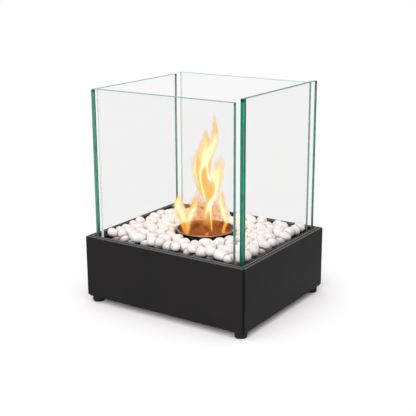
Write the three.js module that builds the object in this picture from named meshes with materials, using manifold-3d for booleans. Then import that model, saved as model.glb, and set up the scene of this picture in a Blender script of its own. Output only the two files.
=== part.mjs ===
// Tabletop bioethanol fireplace: a black steel tray on four feet, a bed of white pebbles with a
// round burner cup in its middle, and four glass panes that stand round it with open corners.
// Millimetres, +Z up. The origin is the middle of the footprint, on the surface it stands on.
// The long front faces -Y and the short right side faces +X.

import * as THREE from 'three';
import { mergeVertices } from 'three/addons/utils/BufferGeometryUtils.js';
import Module from 'manifold-3d';

const wasm = await Module();
wasm.setup();

// Driving dimensions: the tray
const trayLength = 245;
const trayDepth = 205;
const trayHeight = 82;
const traySheet = 1.5;
const trayCornerRadius = 2;
const lipWidth = 8;
const bottomFlangeWidth = 24;

// Driving dimensions: the bottom plate and the feet
const bottomPlateSheet = 1;
const bottomPlateInset = 1.5;
const footHeight = 8;
const footRadius = 8;
const footInset = 10.5;
const footChamfer = 0.8;
const footRecessDepth = 4;
const footRecessClearance = 0.6;

// Driving dimensions: the shelf inside the tray that carries pebbles and glass
const shelfDrop = 24;
const shelfSheet = 1.5;
const shelfWallClearance = 0.5;
const bracketSheet = 1.5;
const bracketWidth = 30;
const bracketHeight = 20;
const bracketReach = 26;
const bracketInset = 30;
const shelfScrewInset = 20;

// Driving dimensions: the glass and the channels that it stands in
const glassThickness = 5;
const glassArris = 0.4;
const glassInset = 9;
const longPaneEndInset = 20.5;
const shortPaneEndInset = 12;
const frontPaneHeight = 216.5;
const leftPaneHeight = 215.5;
const backPaneHeight = 218.5;
const rightPaneHeight = 221.5;
const channelSheet = 1.2;
const channelDrop = 2.5;
const channelSideClearance = 0.5;
const channelSeatClearance = 0.3;
const flangeWidth = 30;
const flangeReach = 11;
const longPaneFlangeInset = 38;
const shortPaneFlangeInset = 35.5;

// Driving dimensions: the burner cup and its fibre filling
const burnerRadius = 38;
const burnerStand = 5.5;
const burnerWall = 1;
const burnerRimWidth = 0.9;
const burnerRimThickness = 1.5;
const burnerFootRadius = 4;
const burnerClearance = 1.5;
const padClearance = 0.3;
const padDrop = 25;
const padEdge = 2;

// Driving dimensions: the pebbles
const pebblePitch = 16.5;
const pebbleLongest = 17;
const pebbleShortest = 12.5;
const pebbleTallest = 13;
const pebbleFlattest = 10;
const pebbleDrift = 2.4;
const pebbleRise = 3;
const pebbleSmallest = 8;
const bedTopDrop = 9;
const bedClearance = 0.5;
const bedSeatClearance = 0.3;
const bedGap = 0.3;

// Driving dimensions: the fasteners
const screwRadius = 2;
const screwHeadRadius = 3.6;
const screwHeadHeight = 2.4;
const screwHeadEdge = 0.5;
const screwSocketRadius = 1.4;
const screwSocketDepth = 1.3;
const screwTip = 1;
const shelfScrewLength = 9;
const screwHoleClearance = 0.2;
const nutAcrossFlats = 7;
const nutHeight = 3.2;
const rivetRadius = 1.6;
const rivetHeadRadius = 3;
const rivetHeadHeight = 1.4;
const rivetTailRadius = 2.5;
const rivetTailHeight = 1;

// How far a cutting solid runs past the face that it cuts
const overrun = 1;

// Counts of flats that stand for a round
const hexagonFlats = 6;
const burnerFlats = 40;
const padFlats = 24;
const footFlats = 18;
const smallFlats = 12;
const pebbleFlats = 7;
const pebbleRings = 4;
const cornerSteps = 3;

// Heights of the levels that pieces seat on
const plateTop = footHeight + bottomPlateSheet;
const trayTop = plateTop + trayHeight;
const flangeTop = plateTop + traySheet;
const shelfTop = trayTop - shelfDrop;
const shelfUnderside = shelfTop - shelfSheet;
const channelTop = trayTop - channelDrop;
const paneSeat = shelfTop + channelSheet + channelSeatClearance;
const burnerHeight = trayHeight + burnerStand;
const bedTop = trayTop - bedTopDrop;
const bedSeat = shelfTop + bedSeatClearance;

// Solids from geometries and back

function solidOf(geometry) {
  const bare = geometry.clone();
  bare.deleteAttribute('normal');
  bare.deleteAttribute('uv');
  const merged = mergeVertices(bare);
  const vertProperties = new Float32Array(merged.attributes.position.array);
  const triVerts = new Uint32Array(merged.index.array);
  return new wasm.Manifold(new wasm.Mesh({ numProp: 3, vertProperties, triVerts }));
}

function geometryOf(solid) {
  const { vertProperties, triVerts } = solid.getMesh();
  const geometry = new THREE.BufferGeometry();
  geometry.setAttribute('position', new THREE.BufferAttribute(vertProperties, 3));
  geometry.setIndex(new THREE.BufferAttribute(triVerts, 1));
  geometry.computeVertexNormals();
  return geometry;
}

function cutFrom(body, cutters) {
  return cutters.reduce((left, cutter) => left.subtract(cutter), body);
}

function piece(name, geometry, look) {
  const material = new THREE.MeshStandardMaterial({ flatShading: true, ...look });
  const mesh = new THREE.Mesh(geometry, material);
  mesh.name = name;
  return mesh;
}

// Outlines and the shapes that are raised or turned from them

function roundedRectangle(width, depth, radius) {
  const right = width / 2;
  const back = depth / 2;
  const corners = [
    [right - radius, back - radius, 0],
    [radius - right, back - radius, Math.PI / 2],
    [radius - right, radius - back, Math.PI],
    [right - radius, radius - back, 1.5 * Math.PI],
  ];
  const points = [];
  for (const [x, y, start] of corners) {
    for (let step = 0; step <= cornerSteps; step += 1) {
      const angle = start + (step / cornerSteps) * (Math.PI / 2);
      points.push(new THREE.Vector2(x + radius * Math.cos(angle), y + radius * Math.sin(angle)));
    }
  }
  return new THREE.Shape(points);
}

function polygon(x, y, radius, flats) {
  const points = [];
  for (let step = 0; step < flats; step += 1) {
    const angle = (step / flats) * 2 * Math.PI;
    points.push(new THREE.Vector2(x + radius * Math.cos(angle), y + radius * Math.sin(angle)));
  }
  return points;
}

function raised(shape, bottom, top) {
  const geometry = new THREE.ExtrudeGeometry(shape, { depth: top - bottom, bevelEnabled: false });
  return geometry.translate(0, 0, bottom);
}

function block(left, right, front, back, bottom, top) {
  const geometry = new THREE.BoxGeometry(right - left, back - front, top - bottom);
  return geometry.translate((left + right) / 2, (front + back) / 2, (bottom + top) / 2);
}

function turned(profile, flats) {
  const points = profile.map(([radius, height]) => new THREE.Vector2(radius, height));
  return new THREE.LatheGeometry(points, flats).rotateX(Math.PI / 2);
}

function drill(x, y, radius, bottom, top) {
  return solidOf(raised(new THREE.Shape(polygon(x, y, radius, smallFlats)), bottom, top));
}

// Looks
const blackCoat = { color: 0x2d2b2c, roughness: 0.55, metalness: 0.1 };
const blackRubber = { color: 0x161616, roughness: 0.8, metalness: 0 };
const zincSteel = { color: 0xa9aaa8, roughness: 0.4, metalness: 1 };
const stainlessSteel = { color: 0xb4b0aa, roughness: 0.3, metalness: 1 };
const clearGlass = { color: 0xdfeee8, roughness: 0.03, metalness: 0, transparent: true, opacity: 0.3 };
const whiteStone = { color: 0xf1ede8, roughness: 0.55, metalness: 0 };
const ceramicFibre = { color: 0xe6e0d2, roughness: 0.95, metalness: 0 };

// Places that repeat

const footPlaces = [
  ['front_left', footInset - trayLength / 2, footInset - trayDepth / 2],
  ['front_right', trayLength / 2 - footInset, footInset - trayDepth / 2],
  ['back_left', footInset - trayLength / 2, trayDepth / 2 - footInset],
  ['back_right', trayLength / 2 - footInset, trayDepth / 2 - footInset],
];

// Each side of the tray in its own frame: X runs along the side, Y runs inward from the tray's
// outer face, and the frame is turned about Z into place.
const sides = [
  { name: 'front', turn: 0, x: 0, y: -trayDepth / 2, height: frontPaneHeight, long: true },
  { name: 'right', turn: Math.PI / 2, x: trayLength / 2, y: 0, height: rightPaneHeight, long: false },
  { name: 'back', turn: Math.PI, x: 0, y: trayDepth / 2, height: backPaneHeight, long: true },
  { name: 'left', turn: -Math.PI / 2, x: -trayLength / 2, y: 0, height: leftPaneHeight, long: false },
];

function sideMatrix(side) {
  return new THREE.Matrix4().makeRotationZ(side.turn).setPosition(side.x, side.y, 0);
}

// Half of the pane's width, and how far the middle of each flange lies from the side's middle

function paneHalf(side) {
  return side.long ? trayLength / 2 - longPaneEndInset : trayDepth / 2 - shortPaneEndInset;
}

function flangeOffset(side) {
  return paneHalf(side) - (side.long ? longPaneFlangeInset : shortPaneFlangeInset);
}

const bracketOffset = trayLength / 2 - bracketInset;

const fireplace = new THREE.Group();

// Tray shell: folded steel walls with a lip turned in at the top, and a flange turned in at the
// bottom that takes the foot screws. It is open above and below.

function trayShell() {
  const outer = roundedRectangle(trayLength, trayDepth, trayCornerRadius);
  const innerLength = trayLength - 2 * traySheet;
  const innerDepth = trayDepth - 2 * traySheet;
  const innerRadius = Math.max(trayCornerRadius - traySheet, traySheet / 4);
  const inner = roundedRectangle(innerLength, innerDepth, innerRadius);
  const mouth = roundedRectangle(trayLength - 2 * lipWidth, trayDepth - 2 * lipWidth, innerRadius);
  const flangeGap = 2 * bottomFlangeWidth;
  const base = roundedRectangle(trayLength - flangeGap, trayDepth - flangeGap, innerRadius);
  const screwHoles = footPlaces.map(([, x, y]) => (
    drill(x, y, screwRadius + screwHoleClearance, plateTop - overrun, flangeTop + overrun)
  ));
  return geometryOf(cutFrom(solidOf(raised(outer, plateTop, trayTop)), [
    solidOf(raised(inner, flangeTop, trayTop - traySheet)),
    solidOf(raised(mouth, trayTop - traySheet - overrun, trayTop + overrun)),
    solidOf(raised(base, plateTop - overrun, flangeTop + overrun)),
    ...screwHoles,
  ]));
}

fireplace.add(piece('tray_shell', trayShell(), blackCoat));

// Bottom plate: a flat sheet that closes the tray from below, held by the foot screws.

function bottomPlate() {
  const length = trayLength - 2 * bottomPlateInset;
  const depth = trayDepth - 2 * bottomPlateInset;
  const shape = roundedRectangle(length, depth, trayCornerRadius);
  for (const [, x, y] of footPlaces) {
    shape.holes.push(new THREE.Path(polygon(x, y, screwRadius + screwHoleClearance, smallFlats)));
  }
  return raised(shape, footHeight, plateTop);
}

fireplace.add(piece('bottom_plate', bottomPlate(), blackCoat));

// Feet: round rubber feet, recessed below for the head of the screw that holds each one.

function footGeometry() {
  const bore = screwRadius + screwHoleClearance;
  const recess = screwHeadRadius + footRecessClearance;
  return turned([
    [recess, 0],
    [footRadius - footChamfer, 0],
    [footRadius, footChamfer],
    [footRadius, footHeight - footChamfer],
    [footRadius - footChamfer, footHeight],
    [bore, footHeight],
    [bore, footRecessDepth],
    [recess, footRecessDepth],
    [recess, 0],
  ], footFlats);
}

// A pan head screw with a hexagon socket, head up, with the head's underside at height zero.
function screwGeometry(length) {
  const body = solidOf(turned([
    [0, -length],
    [screwRadius - screwHeadEdge, -length],
    [screwRadius, screwHeadEdge - length],
    [screwRadius, 0],
    [screwHeadRadius, 0],
    [screwHeadRadius, screwHeadHeight - screwHeadEdge],
    [screwHeadRadius - screwHeadEdge, screwHeadHeight],
    [0, screwHeadHeight],
  ], smallFlats));
  const hexagon = new THREE.Shape(polygon(0, 0, screwSocketRadius, hexagonFlats));
  const socketFloor = screwHeadHeight - screwSocketDepth;
  return geometryOf(body.subtract(solidOf(raised(hexagon, socketFloor, screwHeadHeight + overrun))));
}

function nutGeometry() {
  const hexagon = new THREE.Shape(polygon(0, 0, nutAcrossFlats / Math.sqrt(3), hexagonFlats));
  hexagon.holes.push(new THREE.Path(polygon(0, 0, screwRadius + screwHoleClearance, smallFlats)));
  return raised(hexagon, 0, nutHeight);
}

for (const [place, x, y] of footPlaces) {
  const foot = piece(`foot_${place}`, footGeometry(), blackRubber);
  foot.position.set(x, y, 0);
  const screwLength = flangeTop + nutHeight + screwTip - footRecessDepth;
  const screw = piece(`foot_screw_${place}`, screwGeometry(screwLength), zincSteel);
  screw.rotation.x = Math.PI;
  screw.position.set(x, y, footRecessDepth);
  const nut = piece(`foot_nut_${place}`, nutGeometry(), zincSteel);
  nut.position.set(x, y, flangeTop);
  fireplace.add(foot, screw, nut);
}

// Shelf: a steel plate inside the tray with a round hole for the burner. It carries the pebbles
// and the channels of the glass, and is screwed to four angle brackets welded to the long walls.

const channelEnd = glassInset + glassThickness + channelSideClearance + channelSheet;
const rivetReach = channelEnd + flangeReach / 2;

function localHole(side, along, inward, radius) {
  const spot = new THREE.Vector3(along, inward, 0).applyMatrix4(sideMatrix(side));
  return new THREE.Path(polygon(spot.x, spot.y, radius, smallFlats));
}

function shelfPlate() {
  const gap = 2 * (traySheet + shelfWallClearance);
  const shape = roundedRectangle(trayLength - gap, trayDepth - gap, trayCornerRadius);
  shape.holes.push(new THREE.Path(polygon(0, 0, burnerRadius + burnerClearance, burnerFlats)));
  const rivetHole = rivetRadius + screwHoleClearance;
  const screwHole = screwRadius + screwHoleClearance;
  for (const side of sides) {
    for (const sign of [-1, 1]) {
      shape.holes.push(localHole(side, sign * flangeOffset(side), rivetReach, rivetHole));
      if (side.long) {
        shape.holes.push(localHole(side, sign * bracketOffset, shelfScrewInset, screwHole));
      }
    }
  }
  return raised(shape, shelfUnderside, shelfTop);
}

fireplace.add(piece('shelf_plate', shelfPlate(), blackCoat));

// An angle bracket in a side's frame: one leg flat on the wall, the other under the shelf.
function bracketGeometry() {
  const wallFace = traySheet;
  const legBottom = shelfUnderside - bracketHeight;
  const half = bracketWidth / 2;
  const upright = block(-half, half, wallFace, wallFace + bracketSheet, legBottom, shelfUnderside);
  const reach = wallFace + bracketReach;
  const flange = block(-half, half, wallFace, reach, shelfUnderside - bracketSheet, shelfUnderside);
  const hole = drill(
    0,
    shelfScrewInset,
    screwRadius + screwHoleClearance,
    shelfUnderside - bracketSheet - overrun,
    shelfUnderside + overrun,
  );
  return geometryOf(solidOf(upright).add(solidOf(flange)).subtract(hole));
}

// Glass panes: 5 mm float glass with ground arrises, each standing in a sheet steel channel.

function paneGeometry(side) {
  const half = paneHalf(side);
  const shape = new THREE.Shape([
    new THREE.Vector2(-half, 0),
    new THREE.Vector2(half, 0),
    new THREE.Vector2(half, side.height),
    new THREE.Vector2(-half, side.height),
  ]);
  const geometry = new THREE.ExtrudeGeometry(shape, {
    depth: glassThickness - 2 * glassArris,
    bevelEnabled: true,
    bevelThickness: glassArris,
    bevelSize: glassArris,
    bevelOffset: -glassArris,
    bevelSegments: 1,
  });
  return geometry
    .rotateX(Math.PI / 2)
    .translate(0, glassInset + glassThickness - glassArris, paneSeat);
}

// A channel in a side's frame: folded round the foot of the glass along its whole width, with two
// flanges that run on inward under the pebbles and are riveted to the shelf.
function channelGeometry(side) {
  const half = paneHalf(side);
  const outerFace = glassInset - channelSideClearance - channelSheet;
  const innerFace = channelEnd - channelSheet;
  const parts = [
    block(-half, half, outerFace, outerFace + channelSheet, shelfTop, channelTop),
    block(-half, half, innerFace, channelEnd, shelfTop, channelTop),
    block(-half, half, outerFace, channelEnd, shelfTop, shelfTop + channelSheet),
  ];
  const holes = [];
  for (const sign of [-1, 1]) {
    const middle = sign * flangeOffset(side);
    const left = middle - flangeWidth / 2;
    const right = middle + flangeWidth / 2;
    const tip = channelEnd + flangeReach;
    parts.push(block(left, right, innerFace, tip, shelfTop, shelfTop + channelSheet));
    const hole = rivetRadius + screwHoleClearance;
    holes.push(drill(middle, rivetReach, hole, shelfTop - overrun, shelfTop + channelSheet + overrun));
  }
  const body = parts.map(solidOf).reduce((sum, part) => sum.add(part));
  return geometryOf(cutFrom(body, holes));
}

// A rivet through a flange and the shelf, with its head on the flange at height zero.
function rivetGeometry() {
  const grip = channelSheet + shelfSheet;
  return turned([
    [0, -grip - rivetTailHeight],
    [rivetTailRadius, -grip - rivetTailHeight],
    [rivetTailRadius, -grip],
    [rivetRadius, -grip],
    [rivetRadius, 0],
    [rivetHeadRadius, 0],
    [rivetHeadRadius, rivetHeadHeight / 3],
    [rivetHeadRadius / 2, rivetHeadHeight],
    [0, rivetHeadHeight],
  ], smallFlats);
}

const endNames = { '-1': 'first', 1: 'second' };

for (const side of sides) {
  const frame = new THREE.Group();
  frame.rotation.z = side.turn;
  frame.position.set(side.x, side.y, 0);
  frame.add(piece(`glass_pane_${side.name}`, paneGeometry(side), clearGlass));
  frame.add(piece(`glass_channel_${side.name}`, channelGeometry(side), blackCoat));
  for (const sign of [-1, 1]) {
    const end = `${side.name}_${endNames[sign]}`;
    const rivet = piece(`channel_rivet_${end}`, rivetGeometry(), zincSteel);
    rivet.position.set(sign * flangeOffset(side), rivetReach, shelfTop + channelSheet);
    frame.add(rivet);
    if (side.long) {
      const bracket = piece(`shelf_bracket_${end}`, bracketGeometry(), blackCoat);
      bracket.position.x = sign * bracketOffset;
      const screw = piece(`shelf_screw_${end}`, screwGeometry(shelfScrewLength), zincSteel);
      screw.position.set(bracket.position.x, shelfScrewInset, shelfTop);
      frame.add(bracket, screw);
    }
  }
  fireplace.add(frame);
}

// Burner cup: drawn stainless steel with a rim turned out, standing on the bottom plate. The
// fuel soaks a ceramic fibre filling in its lower part.

function burnerCup() {
  const inside = burnerRadius - burnerWall;
  const rimTop = burnerHeight;
  const rimUnderside = burnerHeight - burnerRimThickness;
  const rimOuter = burnerRadius + burnerRimWidth;
  const rimEdge = burnerRimThickness / 3;
  return turned([
    [0, 0],
    [burnerRadius - burnerFootRadius, 0],
    [burnerRadius - burnerFootRadius / 3, burnerFootRadius / 3],
    [burnerRadius, burnerFootRadius],
    [burnerRadius, rimUnderside],
    [rimOuter - rimEdge, rimUnderside],
    [rimOuter, rimUnderside + rimEdge],
    [rimOuter, rimTop - rimEdge],
    [rimOuter - rimEdge, rimTop],
    [inside + rimEdge, rimTop],
    [inside, rimTop - rimEdge],
    [inside, burnerFootRadius],
    [inside + burnerWall / 3 - burnerFootRadius / 3, burnerWall + burnerFootRadius / 3],
    [inside + burnerWall - burnerFootRadius, burnerWall],
    [0, burnerWall],
  ], burnerFlats);
}

const burner = new THREE.Group();
burner.position.z = plateTop;
burner.add(piece('burner_cup', burnerCup(), stainlessSteel));

// Fibre filling: a round plug of ceramic fibre that is a little slack in the cup.

function fibrePad() {
  const radius = burnerRadius - burnerWall - padClearance;
  const bottom = burnerWall + padClearance;
  const top = burnerHeight - padDrop;
  const heel = burnerFootRadius;
  return turned([
    [0, bottom],
    [radius - heel, bottom],
    [radius, bottom + heel],
    [radius, top - padEdge],
    [radius - padEdge, top],
    [0, top],
  ], padFlats);
}

burner.add(piece('fibre_pad', fibrePad(), ceramicFibre));
fireplace.add(burner);

// Pebble bed: rounded white stones poured round the burner up to the lip. The bed is made in
// eight sections like slices of a cake, each a closed layer of stones with the upper ones
// standing out of it.

const bedInset = channelEnd + bedClearance;
const bedHole = burnerRadius + burnerClearance;
const bedNames = ['right', 'back_right', 'back', 'back_left', 'left', 'front_left', 'front', 'front_right'];
const sliceAngle = (2 * Math.PI) / bedNames.length;

function bedLayer() {
  const shape = roundedRectangle(trayLength - 2 * bedInset, trayDepth - 2 * bedInset, trayCornerRadius);
  shape.holes.push(new THREE.Path(polygon(0, 0, bedHole, burnerFlats)));
  return solidOf(raised(shape, bedSeat, bedTop));
}

// One slice of the bed, drawn back from both of its cut faces by half of the gap
function slice(middleAngle) {
  const reach = trayLength;
  const setBack = bedGap / 2 / Math.sin(sliceAngle / 2);
  const start = new THREE.Vector2(setBack, 0);
  const low = new THREE.Vector2(reach, 0).rotateAround(new THREE.Vector2(), -sliceAngle / 2).add(start);
  const high = new THREE.Vector2(reach, 0).rotateAround(new THREE.Vector2(), sliceAngle / 2).add(start);
  const shape = new THREE.Shape([start, low, high]);
  return solidOf(raised(shape, bedSeat - overrun, bedTop + overrun).rotateZ(middleAngle));
}

// Room in the bed for the channels' flanges with their rivets, and the heads of the shelf screws
function bedPockets() {
  const pockets = [];
  const side = flangeWidth / 2 + bedClearance;
  const flangeEnd = bedInset + flangeReach;
  const rivetTop = shelfTop + channelSheet + rivetHeadHeight + bedClearance;
  const screwTop = shelfTop + screwHeadHeight + bedClearance;
  for (const frame of sides) {
    for (const sign of [-1, 1]) {
      const flange = block(-side, side, bedInset - overrun, flangeEnd, bedSeat - overrun, rivetTop);
      flange.translate(sign * flangeOffset(frame), 0, 0);
      pockets.push(solidOf(flange.applyMatrix4(sideMatrix(frame))));
      if (frame.long) {
        const round = polygon(0, 0, screwHeadRadius + bedClearance, smallFlats);
        const head = raised(new THREE.Shape(round), bedSeat - overrun, screwTop);
        head.translate(sign * bracketOffset, shelfScrewInset, 0);
        pockets.push(solidOf(head.applyMatrix4(sideMatrix(frame))));
      }
    }
  }
  return pockets;
}

// Values from 0 to 1 that look scattered but always come out the same
const goldenShare = (Math.sqrt(5) - 1) / 2;

function scattered(index, channel) {
  return (index * goldenShare * (channel + 1) + channel * goldenShare) % 1;
}

// Stones on a staggered grid, each moved and sized a little differently, kept inside the channels,
// outside the burner and within one slice of the bed.
function pebbles() {
  const stones = [];
  const rowPitch = (pebblePitch * Math.sqrt(3)) / 2;
  const halfLength = trayLength / 2 - bedInset;
  const halfDepth = trayDepth / 2 - bedInset;
  const rows = Math.floor(halfDepth / rowPitch);
  const columns = Math.ceil(halfLength / pebblePitch);
  let index = 0;
  for (let row = -rows; row <= rows; row += 1) {
    for (let column = -columns; column <= columns; column += 1) {
      index += 1;
      const stagger = row % 2 === 0 ? 0 : pebblePitch / 2;
      const x = column * pebblePitch + stagger + (scattered(index, 1) - 1 / 2) * pebbleDrift;
      const y = row * rowPitch + (scattered(index, 2) - 1 / 2) * pebbleDrift;
      const fromMiddle = Math.hypot(x, y);
      const angle = Math.atan2(y, x);
      const number = Math.round(angle / sliceAngle);
      const offMiddle = Math.abs(angle - number * sliceAngle);
      const toCut = fromMiddle * Math.sin(sliceAngle / 2 - offMiddle) - bedGap;
      const room = Math.min(halfLength - Math.abs(x), halfDepth - Math.abs(y), fromMiddle - bedHole, toCut);
      const length = pebbleShortest + (pebbleLongest - pebbleShortest) * scattered(index, 3);
      const radius = Math.min(length / 2, room);
      if (radius >= pebbleSmallest / 2) {
        stones.push({ index, x, y, radius, number });
      }
    }
  }
  return stones;
}

function pebbleSolid({ index, x, y, radius }) {
  const height = pebbleFlattest + (pebbleTallest - pebbleFlattest) * scattered(index, 4);
  const slimShare = 0.78 + 0.2 * scattered(index, 5);
  const geometry = new THREE.SphereGeometry(1, pebbleFlats, pebbleRings)
    .rotateX(scattered(index, 6) * Math.PI)
    .scale(radius, radius * slimShare, height / 2)
    .rotateZ(scattered(index, 7) * Math.PI)
    .translate(x, y, bedTop + pebbleRise * (scattered(index, 8) - 1 / 6));
  return solidOf(geometry);
}

const layer = bedLayer();
const pockets = bedPockets();
const stones = pebbles();

bedNames.forEach((name, number) => {
  const own = stones.filter((stone) => (stone.number + bedNames.length) % bedNames.length === number);
  const slab = layer.intersect(slice(number * sliceAngle));
  const heap = own.reduce((sum, stone) => sum.add(pebbleSolid(stone)), slab);
  fireplace.add(piece(`pebbles_${name}`, geometryOf(cutFrom(heap, pockets)), whiteStone));
});

export default fireplace;
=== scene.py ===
import math

import bmesh
import bpy
import numpy as np
from mathutils import Matrix, Vector


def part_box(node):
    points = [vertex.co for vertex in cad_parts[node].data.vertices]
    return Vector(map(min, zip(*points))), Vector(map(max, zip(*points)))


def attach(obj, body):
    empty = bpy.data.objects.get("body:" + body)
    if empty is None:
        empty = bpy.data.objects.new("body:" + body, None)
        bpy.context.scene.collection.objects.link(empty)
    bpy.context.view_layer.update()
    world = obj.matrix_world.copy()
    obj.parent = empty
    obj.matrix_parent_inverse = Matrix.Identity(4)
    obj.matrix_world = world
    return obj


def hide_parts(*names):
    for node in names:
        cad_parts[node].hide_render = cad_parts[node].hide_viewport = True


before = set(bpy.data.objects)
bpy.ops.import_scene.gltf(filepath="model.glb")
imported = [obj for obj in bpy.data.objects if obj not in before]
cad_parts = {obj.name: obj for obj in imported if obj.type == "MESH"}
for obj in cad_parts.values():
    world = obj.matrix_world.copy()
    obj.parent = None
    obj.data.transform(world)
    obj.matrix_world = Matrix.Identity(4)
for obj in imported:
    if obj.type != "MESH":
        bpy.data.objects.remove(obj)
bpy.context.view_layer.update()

# Tray shell
# One 1.5 mm steel sheet folded into four walls, with a grooved lip turned in at the top and a
# flange turned in at the bottom. The corners are rounded over a 2 mm radius, welded and ground
# smooth, and the whole shell is powder coated black.

# Sizes are in millimetres, here and in the sections below.
TRAY_SHEET = 1.5
TRAY_BEND = 2
FLANGE_BEND = 1.6
LIP_WIDTH = 8
LIP_GROOVE = (3.4, 4.6)
LIP_GROOVE_DEPTH = 0.5
FLANGE_WIDTH = 24
SHEET_EDGE = 0.4
BEND_POINTS = 9
BEND_FADE = 1.2
COAT_BLACK = "#1c1b1c"
COAT_SHADE = "#232122"
COAT_BEND_SHADE = "#0b0b0b"
COAT_TOP_SHEEN = "#6a6967"


def linear(code):
    """A written sRGB colour as the linear colour that a shader takes."""
    parts = [int(code[i:i + 2], 16) / 255 for i in (1, 3, 5)]
    return [p / 12.92 if p <= 0.04045 else ((p + 0.055) / 1.055) ** 2.4 for p in parts] + [1]


def add(tree, kind, feeds=(), into=None, **settings):
    """One node of a finish: its settings, what feeds its sockets, and the socket it goes into."""
    node = tree.nodes.new("ShaderNode" + kind)
    for name, value in settings.items():
        setattr(node, name, value)
    for name, value in dict(feeds).items():
        if isinstance(value, bpy.types.Node):
            value = next(output for output in value.outputs if output.enabled)
        if isinstance(value, bpy.types.NodeSocket):
            tree.links.new(value, node.inputs[name])
        else:
            node.inputs[name].default_value = value
    if into:
        tree.links.new(node.outputs[0], into)
    return node


def finish(name):
    """A new material with only its output node, and the tree that its other nodes go into."""
    material = bpy.data.materials.new(name)
    material.use_nodes = True
    tree = material.node_tree
    tree.nodes.remove(tree.nodes["Principled BSDF"])
    return material, tree, tree.nodes["Material Output"].inputs["Surface"]


def show(made):
    """Puts an object into the scene."""
    bpy.context.scene.collection.objects.link(made)


def piece(name, points, faces, materials, body, stands_for=(), sharp=35):
    """A mesh in millimetres with its finish, the body it moves with and the nodes it stands for."""
    mesh = bpy.data.meshes.new(name)
    mesh.from_pydata((np.asarray(points) / 1000).tolist(), [], [list(map(int, f)) for f in faces])
    mesh.validate()
    mesh.shade_smooth()
    mesh.set_sharp_from_angle(angle=math.radians(sharp))
    for material in materials:
        mesh.materials.append(material)
    made = bpy.data.objects.new(name, mesh)
    show(made)
    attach(made, body)
    if stands_for:
        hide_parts(*stands_for)
    return made


def values(made, name, numbers):
    """Keeps one number for each point of a piece, for its finish to read."""
    made.data.attributes.new(name, "FLOAT", "POINT").data.foreach_set(
        "value", np.asarray(numbers, np.float32))


def arc(centre, radius, start, end, steps=6):
    """Points along an arc of a section, from one angle to another in degrees."""
    angles = np.radians(np.linspace(start, end, steps + 1))
    return [(centre[0] + radius * math.cos(a), centre[1] + radius * math.sin(a)) for a in angles]


def looped(rings):
    """The faces between closed rings of points, the last ring joined to the first."""
    count, size = len(rings), len(rings[0])
    faces = []
    for i in range(count):
        j = (i + 1) % count
        for k in range(size):
            n = (k + 1) % size
            faces.append((i * size + k, i * size + n, j * size + n, j * size + k))
    return faces


def box_mm(node):
    """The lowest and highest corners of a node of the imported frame, in millimetres."""
    low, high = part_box(node)
    return np.array(low) * 1000, np.array(high) * 1000


tray_low, tray_high = box_mm("tray_shell")
tray_bottom, tray_top = tray_low[2], tray_high[2]


def corner_ring(inset, height):
    """A rounded rectangle, this far inside the tray's outer faces, and how much painted shade each
    point takes at the bends.
    """
    radius = max(TRAY_BEND - inset, 0.05)
    half = tray_high[:2] - inset - radius
    ring, bends = [], []
    for turn, (sx, sy) in enumerate(((1, -1), (1, 1), (-1, 1), (-1, -1))):
        along = np.radians(turn * 90 + np.linspace(-90, 0, BEND_POINTS))
        points = [(sx * half[0] + radius * math.cos(a), sy * half[1] + radius * math.sin(a))
                  for a in along]
        first = np.array([math.cos(along[0] - math.pi / 2), math.sin(along[0] - math.pi / 2)])
        last = np.array([math.cos(along[-1] + math.pi / 2), math.sin(along[-1] + math.pi / 2)])
        ring += [tuple(np.array(points[0]) + BEND_FADE * first)] + points
        ring += [tuple(np.array(points[-1]) + BEND_FADE * last)]
        bends += [0, 0.4] + [1] * (BEND_POINTS - 2) + [0.4, 0]
    return [(x, y, height) for x, y in ring], bends


tray_section = (
    arc((TRAY_BEND, tray_top - TRAY_BEND), TRAY_BEND, 180, 90)
    + [(LIP_GROOVE[0] - LIP_GROOVE_DEPTH, tray_top)]
    + [(inset, tray_top - LIP_GROOVE_DEPTH) for inset in LIP_GROOVE]
    + [(LIP_GROOVE[1] + LIP_GROOVE_DEPTH, tray_top)]
    + arc((LIP_WIDTH - SHEET_EDGE, tray_top - SHEET_EDGE), SHEET_EDGE, 90, 0, 3)
    + arc((LIP_WIDTH - SHEET_EDGE, tray_top - TRAY_SHEET + SHEET_EDGE), SHEET_EDGE, 0, -90, 3)
    + arc((TRAY_BEND, tray_top - TRAY_BEND), TRAY_BEND - TRAY_SHEET, 90, 180)
    + arc((FLANGE_BEND, tray_bottom + FLANGE_BEND), FLANGE_BEND - TRAY_SHEET, 180, 270)
    + arc((FLANGE_WIDTH - SHEET_EDGE, tray_bottom + TRAY_SHEET - SHEET_EDGE), SHEET_EDGE, 90, 0, 3)
    + arc((FLANGE_WIDTH - SHEET_EDGE, tray_bottom + SHEET_EDGE), SHEET_EDGE, 0, -90, 3)
    + arc((FLANGE_BEND, tray_bottom + FLANGE_BEND), FLANGE_BEND, 270, 180)
)
tray_rings = [corner_ring(inset, height) for inset, height in tray_section]

# Black polyester powder coat, sprayed and baked. The eye sees a satin black with a very fine grain,
# a little uneven in its gloss. Painted shade darkens it round the upright bends and in the lip's
# groove, and a painted sheen of the bright room makes the faces that look up greyer.
powder_coat, tree, surface = finish("black_powder_coat_baked")
place = add(tree, "TexCoord").outputs["Object"]
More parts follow.
